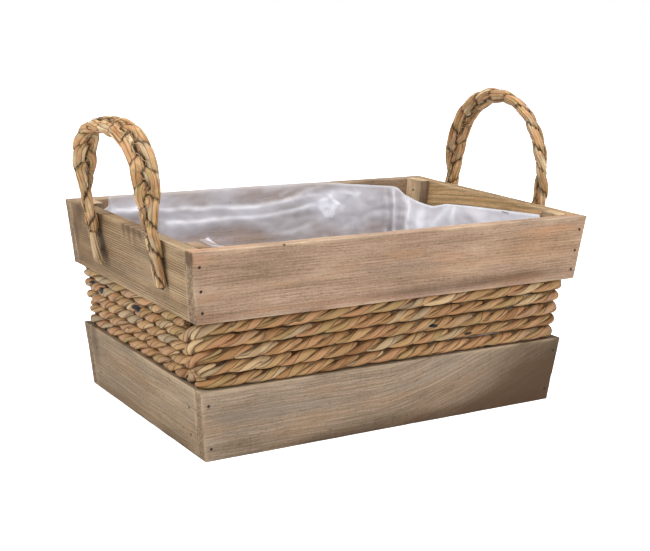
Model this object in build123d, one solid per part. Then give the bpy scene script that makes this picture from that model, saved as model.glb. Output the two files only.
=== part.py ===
from build123d import *
import math
import os

os.makedirs("parts", exist_ok=True)

# The basket as a whole, in millimetres. Origin: centre of the base, +Z up, +X along the length.
top_length = 400.0
top_width = 262.5
base_length = 358.5
base_width = 234.5
basket_height = 176.0

# Boards of the two frames, and the waist left open between them
board_thickness = 12.0
top_board_height = 59.0
bottom_board_height = 60.5
top_board_base = basket_height - top_board_height
waist_height = top_board_base - bottom_board_height

# Corner battens and base slats
batten_thickness = 11.0
batten_width = 24.0
slat_thickness = 9.0
slat_count = 3
slat_gap = 5.0

# Rope wound round the battens
rope_diameter = 10.4
rope_seat = 0.3
rope_least_gap = 0.5
rope_corner_share = 1.05
rope_climb_share = 4.8
rope_tail_share = 1.35
rope_ease_share = 4.0
rope_end_gap = 2.0
rope_radius = rope_diameter / 2
rope_corner_radius = rope_corner_share * rope_diameter
rope_inset = board_thickness - rope_radius - rope_seat
rope_room = waist_height - 2 * rope_seat
rope_rounds = int((rope_room + rope_least_gap) / (rope_diameter + rope_least_gap))
rope_pitch = (rope_room - rope_diameter) / (rope_rounds - 1)
batten_arris = rope_corner_radius - rope_radius - rope_seat

# Liner: a thin film, drawn thicker than the real one
liner_wall = 1.0
liner_gap = 0.3
liner_rim_drop = 3.0
liner_droop_back_share = 0.35
liner_droop_right_share = 0.30
liner_droop_depth = 24.0

# Plaited handles: legs nailed to the end boards, arches that stand above the rim
leg_thickness = 8.5
leg_width = 16.0
leg_tip_thickness = 6.5
leg_tip_width = 10.5
leg_drop_share = 0.68
leg_seat = 0.3
crown_thickness = 10.5
crown_width = 22.0
plait_spread_length = 45.0
hinge_height = 4.0
hinge_gap = 0.3
knuckle_ease = 0.05
hinge_margin_deg = 2.0
handle_swing_deg = 45.0
arch_steps = 14
handle_centre_share = {"left": -0.084, "right": 0.0915}
handle_span_share = {"left": 0.503, "right": 0.533}
handle_rise = {"left": 85.0, "right": 97.0}
handle_straight = {"left": 28.0, "right": 30.0}
handle_roundness = {"left": 2.6, "right": 2.0}
handle_lean_deg = {"left": 5.0, "right": 0.0}

# Brads and tacks, each with a flat head punched just below the face, and the staples of the liner
brad_radius = 0.8
brad_head_radius = 1.2
brad_head_height = 0.8
brad_sink = 0.2
nail_clearance = 0.1
cut_overrun = 1.0
long_brad = 22.0
short_brad = 19.0
tack_bite = 8.0
top_brad_shares = (0.21, 0.54, 0.84)
bottom_brad_shares = (0.2, 0.82)
batten_brad_shares = (0.32, 0.72)
inner_brad_shares = (0.18, 0.6)
slat_brad_shares = (0.25, 0.75)
leg_tack_shares = (0.14, 0.6)
staple_crown = 10.0
staple_leg = 6.0
staple_wire = 0.9
staple_drop = 9.0
long_wall_staple_shares = (-0.62, -0.2, 0.22)
end_wall_staple_shares = (-0.62, -0.26)

side_signs = {"left": -1, "right": 1, "front": -1, "back": 1}
length_slope = (top_length - base_length) / 2 / basket_height
width_slope = (top_width - base_width) / 2 / basket_height


def half_length(z):
    """Distance from the middle to the outer face of an end wall, at height z."""
    return base_length / 2 + length_slope * z


def half_width(z):
    """Distance from the middle to the outer face of a long wall, at height z."""
    return base_width / 2 + width_slope * z


def splayed_slab(plane, low, high, sides):
    """A slab seen edge-on in an upright plane, between two heights and two sides that lean."""
    (a0, a1), (b0, b1) = sorted(sides(low)), sorted(sides(high))
    outline = make_face(Polyline((a0, low), (a1, low), (b1, high), (b0, high), close=True))
    return extrude(plane * outline, top_length, both=True)


def splayed_block(low, high, x_sides, y_sides):
    """A block between two heights. Its sides are functions of height, so they follow the splay."""
    return splayed_slab(Plane.XZ, low, high, x_sides) & splayed_slab(Plane.YZ, low, high, y_sides)


def inside(half, inset):
    """Both sides of something centred in the basket, an inset inside the walls' outer faces."""
    return lambda z: (inset - half(z), half(z) - inset)


# Planes on the faces that nails and staples go into; each one's z axis points into the wood

def wall_plane(side, along, z, depth=0.0):
    """A plane on a wall's outer face, or at a depth below it measured level."""
    sign = side_signs[side]
    if side in ("left", "right"):
        return Plane(origin=(sign * (half_length(z) - depth), along, z), x_dir=(0, 1, 0),
                     z_dir=(-sign, 0, length_slope))
    return Plane(origin=(along, sign * (half_width(z) - depth), z), x_dir=(1, 0, 0),
                 z_dir=(0, -sign, width_slope))


def inner_plane(side, along, z, depth):
    """The same plane turned round, for what is driven from inside the basket."""
    outer = wall_plane(side, along, z, depth)
    return Plane(origin=outer.origin, x_dir=outer.x_dir, z_dir=-outer.z_dir)


# Nails

def nail(plane, length, room=0.0, overrun=0.0):
    """A brad or tack on its plane; with room and overrun, the hole that it sits in."""
    seat = (Align.CENTER, Align.CENTER, Align.MIN)
    shank = Cylinder(brad_radius + room, length + room, align=seat)
    head = Pos(0, 0, -overrun) * Cylinder(brad_head_radius + room, brad_head_height + room + overrun,
                                          align=seat)
    return plane * Pos(0, 0, brad_sink) * (shank + head)


def nail_group(nails):
    return Compound(children=[nail(plane, length) for plane, length in nails])


def drilled(piece, *groups):
    """A piece with the holes of every nail in the groups."""
    holes = [nail(plane, length, nail_clearance, cut_overrun) for group in groups for plane, length in group]
    return piece - holes if holes else piece


def long_wall_brads(side):
    """Through a long wall's board ends into the end grain of the end boards."""
    nails = []
    rows = [basket_height - share * top_board_height for share in top_brad_shares]
    rows += [bottom_board_height * (1 - share) for share in bottom_brad_shares]
    for z in rows:
        for end in (-1, 1):
            nails.append((wall_plane(side, end * (half_length(z) - board_thickness / 2), z), long_brad))
    return nails


def end_wall_brads(side):
    """Through a bottom end board into the two battens behind it."""
    nails = []
    for share in batten_brad_shares:
        z = bottom_board_height * (1 - share)
        along = half_width(z) - board_thickness - batten_width / 2
        nails += [(wall_plane(side, end * along, z), short_brad) for end in (-1, 1)]
    return nails


def batten_brads(side):
    """From inside, through the battens into the top end board."""
    nails = []
    for share in inner_brad_shares:
        z = basket_height - share * top_board_height
        along = half_width(z) - board_thickness - batten_width / 2
        plane_depth = board_thickness + batten_thickness
        nails += [(inner_plane(side, end * along, z, plane_depth), short_brad) for end in (-1, 1)]
    return nails


def slat_edges():
    """Front and back edge of each base slat, at the level of the base."""
    room = base_width - 2 * board_thickness
    width = (room - (slat_count - 1) * slat_gap) / slat_count
    fronts = [i * (width + slat_gap) - room / 2 for i in range(slat_count)]
    return [(front, front + width) for front in fronts]


def base_brads(side):
    """Level, through the foot of an end board into the ends of the base slats."""
    nails = []
    sign, z = side_signs[side], slat_thickness / 2
    for front, back in slat_edges():
        for share in slat_brad_shares:
            start = Vector(sign * half_length(z), front + share * (back - front), z)
            nails.append((Plane(origin=start, x_dir=(0, 1, 0), z_dir=(-sign, 0, 0)), long_brad))
    return nails


# Boards, battens and slats

def long_board(side, low, high):
    sign = side_signs[side]
    return splayed_block(low, high, inside(half_length, 0),
                         lambda z: (sign * half_width(z), sign * (half_width(z) - board_thickness)))


def end_board(side, low, high):
    sign = side_signs[side]
    return splayed_block(low, high,
                         lambda z: (sign * half_length(z), sign * (half_length(z) - board_thickness)),
                         inside(half_width, board_thickness))


def corner_batten(x_sign, y_sign):
    """An upright strip in a corner, standing on the slats, its outer arris eased for the rope."""
    def corner(z):
        return Vector(x_sign * (half_length(z) - board_thickness),
                      y_sign * (half_width(z) - board_thickness), z)
    foot = corner(slat_thickness)
    middle = foot - Vector(x_sign * batten_thickness / 2, y_sign * batten_width / 2, 0)
    strip = Pos(*middle) * Rectangle(batten_thickness, batten_width)
    arris = strip.vertices().sort_by_distance(foot)[0]
    section = fillet(arris, batten_arris).face()
    return Part(Solid.extrude(section, corner(basket_height) - foot).wrapped)


def base_slat(index):
    """A slat inside the bottom frame; the outer two lean with the front and back boards."""
    front, back = slat_edges()[index]

    def y_sides(z):
        y0 = board_thickness - half_width(z) if index == 0 else front
        y1 = half_width(z) - board_thickness if index == slat_count - 1 else back
        return y0, y1
    return splayed_block(0, slat_thickness, inside(half_length, board_thickness), y_sides)


# Rope

def rope_corner(z, x_sign, y_sign):
    return Vector(x_sign * (half_length(z) - rope_inset), y_sign * (half_width(z) - rope_inset), z)


def rope_route():
    """Corner points and bend radii of the rope. It runs level and drops one pitch on the left end."""
    levels = [top_board_base - rope_seat - rope_radius - i * rope_pitch for i in range(rope_rounds)]
    tail = rope_corner_radius + rope_tail_share * rope_diameter
    climb = tail + rope_climb_share * rope_diameter
    ease = rope_ease_share * rope_diameter
    points = [rope_corner(levels[0], -1, -1) + Vector(0, climb + rope_end_gap, 0)]
    radii = []
    for number, z in enumerate(levels):
        for x_sign, y_sign in ((-1, 1), (1, 1), (1, -1), (-1, -1)):
            points.append(rope_corner(z, x_sign, y_sign))
            radii.append(rope_corner_radius)
        points.append(rope_corner(z, -1, -1) + Vector(0, tail, 0))
        if number < rope_rounds - 1:
            points.append(rope_corner(levels[number + 1], -1, -1) + Vector(0, climb, 0))
            radii += [ease, ease]
    return points, radii


def segment_distance(point, start, end):
    run = end - start
    share = max(0.0, min(1.0, (point - start).dot(run) / run.dot(run)))
    return (point - start - run * share).length


def least_rope_gap(path):
    """Smallest space between one round of the rope and the next, measured on points along it."""
    samples = 6
    points = []
    for edge in path.edges():
        points += [edge.position_at(i / samples) for i in range(samples)]
    per_round = len(points) // rope_rounds
    gap = rope_pitch
    for i, point in enumerate(points):
        later = range(i + per_round // 2, min(i + 3 * per_round // 2, len(points) - 1))
        for j in later:
            gap = min(gap, segment_distance(point, points[j], points[j + 1]) - rope_diameter)
    return gap


def rope_wrap():
    points, radii = rope_route()
    path = FilletPolyline(points, radius=radii)
    section = Plane(origin=path.position_at(0), z_dir=path.tangent_at(0)) * Circle(rope_radius)
    rope = sweep(section, path=path)
    expected = math.pi * rope_radius ** 2 * path.length
    print("rope: %d rounds, %.0f mm long, least gap %.2f mm, volume is %.4f of section times length"
          % (rope_rounds, path.length, least_rope_gap(path), rope.volume / expected))
    return rope


def rope_tacks():
    """One tack up through the first end into the board above it, one through the last into the batten."""
    points, _ = rope_route()
    first, last = points[0], points[-1]
    length = 2 * rope_radius + tack_bite
    under = Plane(origin=(first.X, first.Y + rope_radius, first.Z - rope_radius + brad_head_height),
                  z_dir=(0, 0, 1))
    depth = rope_inset - rope_radius + brad_head_height
    outside = wall_plane("left", last.Y - rope_radius / 2, last.Z, depth)
    return [(under, length), (outside, length)]


# Liner

def liner_block(low, high, inset):
    """The room between the boards and round the battens, an inset away from them, filled."""
    wall = board_thickness + inset
    lengthwise = splayed_block(low, high, inside(half_length, wall), inside(half_width, wall + batten_width))
    across = splayed_block(low, high, inside(half_length, wall + batten_thickness), inside(half_width, wall))
    return lengthwise + across


def liner():
    """A thin open tray. Its rim sags towards the back right corner, where the film has slipped down."""
    low = slat_thickness + liner_gap
    high = basket_height - liner_rim_drop
    outer = liner_block(low, high, liner_gap)
    inner = liner_block(low + liner_wall, basket_height + cut_overrun, liner_gap + liner_wall)
    back_start = Vector(liner_droop_back_share * top_length / 2, half_width(high), high)
    corner = Vector(half_length(high), half_width(high), high - liner_droop_depth)
    right_end = Vector(half_length(high), -half_width(high) * (1 - liner_droop_right_share), high)
    slope = Plane(origin=corner, z_dir=(right_end - corner).cross(back_start - corner))
    if slope.z_dir.Z < 0:
        slope = Plane(origin=corner, z_dir=-slope.z_dir)
    reach = top_length + top_width
    cover = slope * Box(reach, reach, basket_height, align=(Align.CENTER, Align.CENTER, Align.MIN))
    return outer - inner - cover


# Staples that hold the film to the boards

def staple(plane, room=0.0):
    """A wire staple astride its plane: the crown lies on the film, the legs go through it."""
    wire = staple_wire + 2 * room
    crown = Pos(0, 0, -wire / 2) * Box(staple_crown + 2 * room, wire, wire)
    reach = (staple_crown - staple_wire) / 2
    legs = [Pos(side * reach, 0, staple_leg / 2) * Box(wire, wire, staple_leg + 2 * room) for side in (-1, 1)]
    return plane * (crown + legs)


def staple_planes(side):
    z = basket_height - liner_rim_drop - staple_drop
    depth = board_thickness + liner_gap + liner_wall
    if side in ("left", "right"):
        return [inner_plane(side, share * half_width(z), z, depth) for share in end_wall_staple_shares]
    return [inner_plane(side, share * half_length(z), z, depth) for share in long_wall_staple_shares]


def stapled(piece, *sides):
    """A piece with the holes of the staples on the named walls."""
    return piece - [staple(plane, nail_clearance) for side in sides for plane in staple_planes(side)]


# Handles

def handle_centre(side):
    return handle_centre_share[side] * top_width / 2


def handle_half_span(side):
    return handle_span_share[side] * top_width / 2


def hinge_point(side):
    """Where the plait leaves the rim and bends: level with its own middle, just above the board."""
    z = basket_height + hinge_height
    return Vector(side_signs[side] * (half_length(z) + leg_seat + leg_thickness / 2), handle_centre(side), z)


def arch_line(side):
    """Points up one side of the arch and down the other, across and up from the hinge line."""
    span, straight = handle_half_span(side), handle_straight[side] - hinge_height
    rise = handle_rise[side] - handle_straight[side]
    power = handle_roundness[side]
    line = [(span, 0.0, (1.0, 0.0))]
    for i in range(arch_steps + 1):
        turn = math.pi * i / arch_steps
        across = math.copysign(abs(math.cos(turn)) ** (2 / power), math.cos(turn))
        up = max(math.sin(turn), 0.0) ** (2 / power)
        slant = math.copysign(abs(across) ** (power - 1), across)
        outward = Vector(slant / span, up ** (power - 1) / rise, 0).normalized()
        line.append((span * across, straight + rise * up, (outward.X, outward.Y)))
    line.append((-span, 0.0, (-1.0, 0.0)))
    return line


def arch(side):
    """The standing plait: flat against the board at the rim, turned edge-on and broader at the crown."""
    sign, lean = side_signs[side], math.radians(handle_lean_deg[side])
    hinge = hinge_point(side)
    up = Vector(sign * math.sin(lean), 0, math.cos(lean))
    out = Vector(sign * math.cos(lean), 0, -math.sin(lean))
    across = Vector(0, 1, 0)
    line = arch_line(side)
    runs = [0.0]
    for (a0, u0, _), (a1, u1, _) in zip(line, line[1:]):
        runs.append(runs[-1] + math.hypot(a1 - a0, u1 - u0))
    sections = []
    for (a, u, (na, nu)), run in zip(line, runs):
        share = min(1.0, min(run, runs[-1] - run) / plait_spread_length)
        share = share * share * (3 - 2 * share)
        outward = across * na + up * nu
        along = across * -nu + up * na
        twist = share * math.pi / 2
        broad = outward * math.cos(twist) + out * math.sin(twist)
        width = leg_width + share * (crown_width - leg_width)
        thickness = leg_thickness + share * (crown_thickness - leg_thickness)
        plane = Plane(origin=hinge + across * a + up * u, x_dir=broad, z_dir=along)
        sections.append((plane * Ellipse(width / 2, thickness / 2)).face())
    return hinge_cut(loft(sections, ruled=True), side)


def hinge_cut(plait, side):
    """Hollow the arch's feet round the bending line and bevel them, so that it can lean both ways."""
    hinge = hinge_point(side)
    depth = 2 * (handle_half_span(side) + crown_width)
    round_cut = Pos(*hinge) * Rot(90, 0, 0) * Cylinder(knuckle_radius() + hinge_gap, depth)
    reach = crown_width
    rise = reach * math.tan(math.radians(handle_swing_deg + hinge_margin_deg))
    bevels = []
    for sign in (-1, 1):
        corners = [(0, 0), (sign * reach, -reach), (sign * reach, rise)]
        face = Plane(origin=hinge + Vector(0, depth / 2, 0), x_dir=(1, 0, 0), z_dir=(0, -1, 0)) * make_face(
            Polyline(*corners, close=True))
        bevels.append(extrude(face, depth))
    return plait - [round_cut] - bevels


def knuckle_radius():
    return leg_thickness / 2 + knuckle_ease


def leg(side, end):
    """A leg of the plait, nailed to the end board; its top is rounded about the bending line."""
    sign = side_signs[side]
    hinge = hinge_point(side) + Vector(0, end * handle_half_span(side), 0)
    drop = leg_drop_share * top_board_height + hinge_height
    tip_shift = (leg_thickness - leg_tip_thickness) / 2
    along = Vector(sign * length_slope, 0, 1).normalized()
    sections = []
    for rise, width, thickness, shift in ((-drop, leg_tip_width, leg_tip_thickness, tip_shift),
                                          (0, leg_width, leg_thickness, 0),
                                          (2 * knuckle_radius(), leg_width, leg_thickness, 0)):
        origin = hinge + Vector(sign * (length_slope * rise - shift), 0, rise)
        plane = Plane(origin=origin, x_dir=(0, 1, 0), z_dir=along)
        sections.append((plane * Ellipse(width / 2, thickness / 2)).face())
    below = Pos(*hinge) * Box(crown_width, leg_width + crown_width, 2 * drop,
                              align=(Align.CENTER, Align.CENTER, Align.MAX))
    top = Pos(*hinge) * Rot(90, 0, 0) * Cylinder(knuckle_radius(), leg_width + crown_width)
    return loft(sections, ruled=True) & (below + top)


def leg_tacks(side):
    """Two tacks in each leg, through the plait into the end board."""
    nails = []
    drop = leg_drop_share * top_board_height
    for end in (-1, 1):
        along = handle_centre(side) + end * handle_half_span(side)
        for share in leg_tack_shares:
            z = basket_height - (1 - share) * drop
            thickness = leg_tip_thickness + share * (leg_thickness - leg_tip_thickness)
            plane = wall_plane(side, along, z, -leg_seat - thickness)
            nails.append((plane, thickness + tack_bite))
    return nails


# The whole basket, one entry for each node

def build():
    nodes = {}
    front, back = long_wall_brads("front"), long_wall_brads("back")
    ends = {side: end_wall_brads(side) for side in ("left", "right")}
    inner = {side: batten_brads(side) for side in ("left", "right")}
    base = {side: base_brads(side) for side in ("left", "right")}
    tacks = {side: leg_tacks(side) for side in ("left", "right")}
    rope_ends = rope_tacks()

    for level, low, high in (("top", top_board_base, basket_height), ("bottom", 0, bottom_board_height)):
        for side, brads in (("front", front), ("back", back)):
            board = drilled(long_board(side, low, high), brads)
            nodes[f"{level}_board_{side}"] = stapled(board, side) if level == "top" else board
        for side in ("left", "right"):
            board = end_board(side, low, high)
            if level == "top":
                held = [front, back, inner[side], tacks[side], rope_ends]
                nodes[f"{level}_board_{side}"] = stapled(drilled(board, *held), side)
            else:
                nodes[f"{level}_board_{side}"] = drilled(board, front, back, ends[side], base[side])

    for y_side in ("front", "back"):
        for x_side in ("left", "right"):
            batten = corner_batten(side_signs[x_side], side_signs[y_side])
            held = [ends[x_side], inner[x_side], rope_ends]
            nodes[f"corner_batten_{y_side}_{x_side}"] = drilled(batten, *held)

    for index in range(slat_count):
        nodes[f"base_slat_{index + 1}"] = drilled(base_slat(index), base["left"], base["right"])

    nodes["rope_wrap"] = drilled(rope_wrap(), rope_ends)
    nodes["liner"] = stapled(liner(), "front", "back", "left", "right")

    for side in ("left", "right"):
        nodes[f"handle_{side}"] = arch(side)
        for name, end in (("front", -1), ("back", 1)):
            nodes[f"handle_{side}_{name}_leg"] = drilled(leg(side, end), tacks[side])

    nodes["brads_front"] = nail_group(front)
    nodes["brads_back"] = nail_group(back)
    for side in ("left", "right"):
        nodes[f"brads_{side}"] = nail_group(ends[side])
        nodes[f"batten_brads_{side}"] = nail_group(inner[side])
        nodes[f"base_brads_{side}"] = nail_group(base[side])
        nodes[f"handle_tacks_{side}"] = nail_group(tacks[side])
    nodes["rope_tacks"] = nail_group(rope_ends)
    staples = [staple(plane) for side in ("front", "back", "left", "right") for plane in staple_planes(side)]
    nodes["liner_staples"] = Compound(children=staples)
    return nodes


for node_name, solid in build().items():
    export_step(solid, f"parts/{node_name}.step")
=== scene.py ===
"""A wooden trug with a rope-wrapped waist, plaited handles and a film liner: its looks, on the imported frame.

Lengths are in millimetres, as in the part's source, and become metres where a mesh is made."""

import math

import bpy
import numpy as np
from mathutils import Matrix, Vector


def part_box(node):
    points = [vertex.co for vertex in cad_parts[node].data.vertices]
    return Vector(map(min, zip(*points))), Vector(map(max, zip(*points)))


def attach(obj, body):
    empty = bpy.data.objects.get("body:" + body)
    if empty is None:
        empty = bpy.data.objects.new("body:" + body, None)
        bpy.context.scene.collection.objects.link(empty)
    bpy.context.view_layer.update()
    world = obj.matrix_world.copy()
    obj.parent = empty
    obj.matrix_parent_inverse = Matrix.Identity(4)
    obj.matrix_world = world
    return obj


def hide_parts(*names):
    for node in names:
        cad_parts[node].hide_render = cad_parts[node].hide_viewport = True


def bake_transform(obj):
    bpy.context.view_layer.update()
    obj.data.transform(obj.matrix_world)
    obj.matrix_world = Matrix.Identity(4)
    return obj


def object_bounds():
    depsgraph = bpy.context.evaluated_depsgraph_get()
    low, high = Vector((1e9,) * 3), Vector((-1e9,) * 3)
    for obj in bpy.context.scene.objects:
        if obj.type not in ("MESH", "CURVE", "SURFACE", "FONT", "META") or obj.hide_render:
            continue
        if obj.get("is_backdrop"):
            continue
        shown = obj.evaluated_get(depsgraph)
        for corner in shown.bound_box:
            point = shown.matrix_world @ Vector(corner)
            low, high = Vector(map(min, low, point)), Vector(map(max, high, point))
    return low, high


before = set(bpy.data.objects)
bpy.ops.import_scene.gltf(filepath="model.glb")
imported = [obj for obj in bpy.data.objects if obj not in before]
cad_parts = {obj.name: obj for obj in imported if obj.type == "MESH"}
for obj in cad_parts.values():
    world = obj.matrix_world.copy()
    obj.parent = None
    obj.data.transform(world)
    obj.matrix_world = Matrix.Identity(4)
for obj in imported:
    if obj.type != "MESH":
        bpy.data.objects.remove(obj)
cad_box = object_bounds()

MM = 0.001
ROOT = "basket"
TOP_LENGTH, TOP_WIDTH = 400.0, 262.5
BASE_LENGTH, BASE_WIDTH = 358.5, 234.5
HEIGHT = 176.0
BOARD = 12.0
TOP_BOARD_FOOT, BOTTOM_BOARD_HEAD = 117.0, 60.5
BATTEN_THICK, BATTEN_WIDE = 11.0, 24.0
SLAT_THICK = 9.0
SEAT_GAP = 0.3


def half_length(z):
    return BASE_LENGTH / 2 + (TOP_LENGTH - BASE_LENGTH) / 2 / HEIGHT * z


def half_width(z):
    return BASE_WIDTH / 2 + (TOP_WIDTH - BASE_WIDTH) / 2 / HEIGHT * z


# Small tools

def linear(code):
    """An opaque sRGB hex colour as the linear values that Blender works in."""
    parts = [int(code[i:i + 2], 16) / 255 for i in (0, 2, 4)]
    return tuple(p / 12.92 if p <= 0.04045 else ((p + 0.055) / 1.055) ** 2.4 for p in parts) + (1.0,)


def ripple(points, size, seed, octaves=3):
    """Smooth pseudo-random values from about -1 to 1; size is that of a feature, one number or one per axis."""
    rng = np.random.default_rng(seed)
    points = np.asarray(points, float) / size
    total, weight = np.zeros(len(points)), 0.0
    for octave in range(octaves):
        for _ in range(4):
            way = rng.normal(size=points.shape[1])
            pace = 2 ** octave * rng.uniform(2.5, 4.0) / np.linalg.norm(way)
            total += np.sin(points @ way * pace + rng.uniform(0, math.tau)) / 2 ** octave
        weight += 2 / 2 ** octave
    return total / weight


def smooth(share):
    share = np.clip(share, 0, 1)
    return share * share * (3 - 2 * share)


def unit(vectors):
    return vectors / np.linalg.norm(vectors, axis=-1, keepdims=True)


def distances(points):
    """How far along a line each of its points is."""
    return np.concatenate([[0], np.cumsum(np.linalg.norm(np.diff(points, axis=0), axis=1))])


def strips(rows, columns, closed=True):
    """Quads that join rows of points; closed rows also join their last point to their first."""
    return [[i * columns + j, i * columns + (j + 1) % columns, (i + 1) * columns + (j + 1) % columns,
             (i + 1) * columns + j] for i in range(rows - 1) for j in range(columns if closed else columns - 1)]


def add_object(name, data):
    obj = bpy.data.objects.new(name, data)
    bpy.context.scene.collection.objects.link(obj)
    return obj


def baked(obj):
    """A mesh of an object as its modifiers leave it."""
    return bpy.data.meshes.new_from_object(obj.evaluated_get(bpy.context.evaluated_depsgraph_get()))


def points_of(mesh):
    return np.array([v.co for v in mesh.vertices])


class Bundle:
    """Points, faces and point values of several shapes that become one mesh."""

    def __init__(self):
        self.points, self.faces, self.values, self.count = [], [], {}, 0

    def add(self, points, faces, **values):
        self.points.append(points)
        self.faces += [[i + self.count for i in face] for face in faces]
        for key, value in values.items():
            self.values.setdefault(key, []).append(value)
        self.count += len(points)

    def make(self, name, material, stands_for=()):
        mesh = bpy.data.meshes.new(name)
        mesh.from_pydata((np.concatenate(self.points) * MM).tolist(), [], self.faces)
        set_values(mesh, {key: np.concatenate(value) for key, value in self.values.items()})
        mesh.polygons.foreach_set("use_smooth", [True] * len(mesh.polygons))
        obj = add_object(name, mesh)
        mesh.materials.append(material)
        if stands_for:
            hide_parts(*stands_for)
        return obj


def set_values(mesh, values):
    """Stores a number or a vector for each point of a mesh, for its material to read."""
    for key, value in values.items():
        value = np.asarray(value, np.float32)
        kind, field = ("FLOAT", "value") if value.ndim == 1 else ("FLOAT_VECTOR", "vector")
        mesh.attributes.new(key, kind, "POINT").data.foreach_set(field, value.ravel())


# Materials

TIMES, PLUS, MINUS, TIMES_PLUS, OVER = (
    {"operation": name} for name in ("MULTIPLY", "ADD", "SUBTRACT", "MULTIPLY_ADD", "DIVIDE"))
SMOOTH = {"interpolation_type": "SMOOTHSTEP"}
RGBA = {"data_type": "RGBA"}


def nodes_of(tree):
    """Empties a node tree, and gives the one function that adds a node to it."""
    tree.nodes.clear()

    def node(kind, inputs=(), out=None, stops=(), **settings):
        """Adds a node with settings, links and ramp stops; gives the output called out, or the first in use."""
        made = tree.nodes.new("ShaderNode" + kind)
        for key, value in settings.items():
            setattr(made, key, value)
        for key, value in inputs.items() if isinstance(inputs, dict) else enumerate(inputs):
            if isinstance(value, bpy.types.NodeSocket):
                tree.links.new(value, made.inputs[key])
            else:
                made.inputs[key].default_value = value
        for i, (place, code) in enumerate(stops):
            element = made.color_ramp.elements[i] if i < 2 else made.color_ramp.elements.new(place)
            element.position, element.color = place, linear(code)
        return made.outputs[out] if out else next((o for o in made.outputs if o.enabled), None)

    return node


def new_material(name):
    material = bpy.data.materials.new(name)
    material.use_nodes = True
    return material, nodes_of(material.node_tree)


def per_mm(*sizes):
    """Factors that make one unit of a pattern this many millimetres on each axis."""
    return tuple(1 / (size * MM) for size in sizes)


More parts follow.
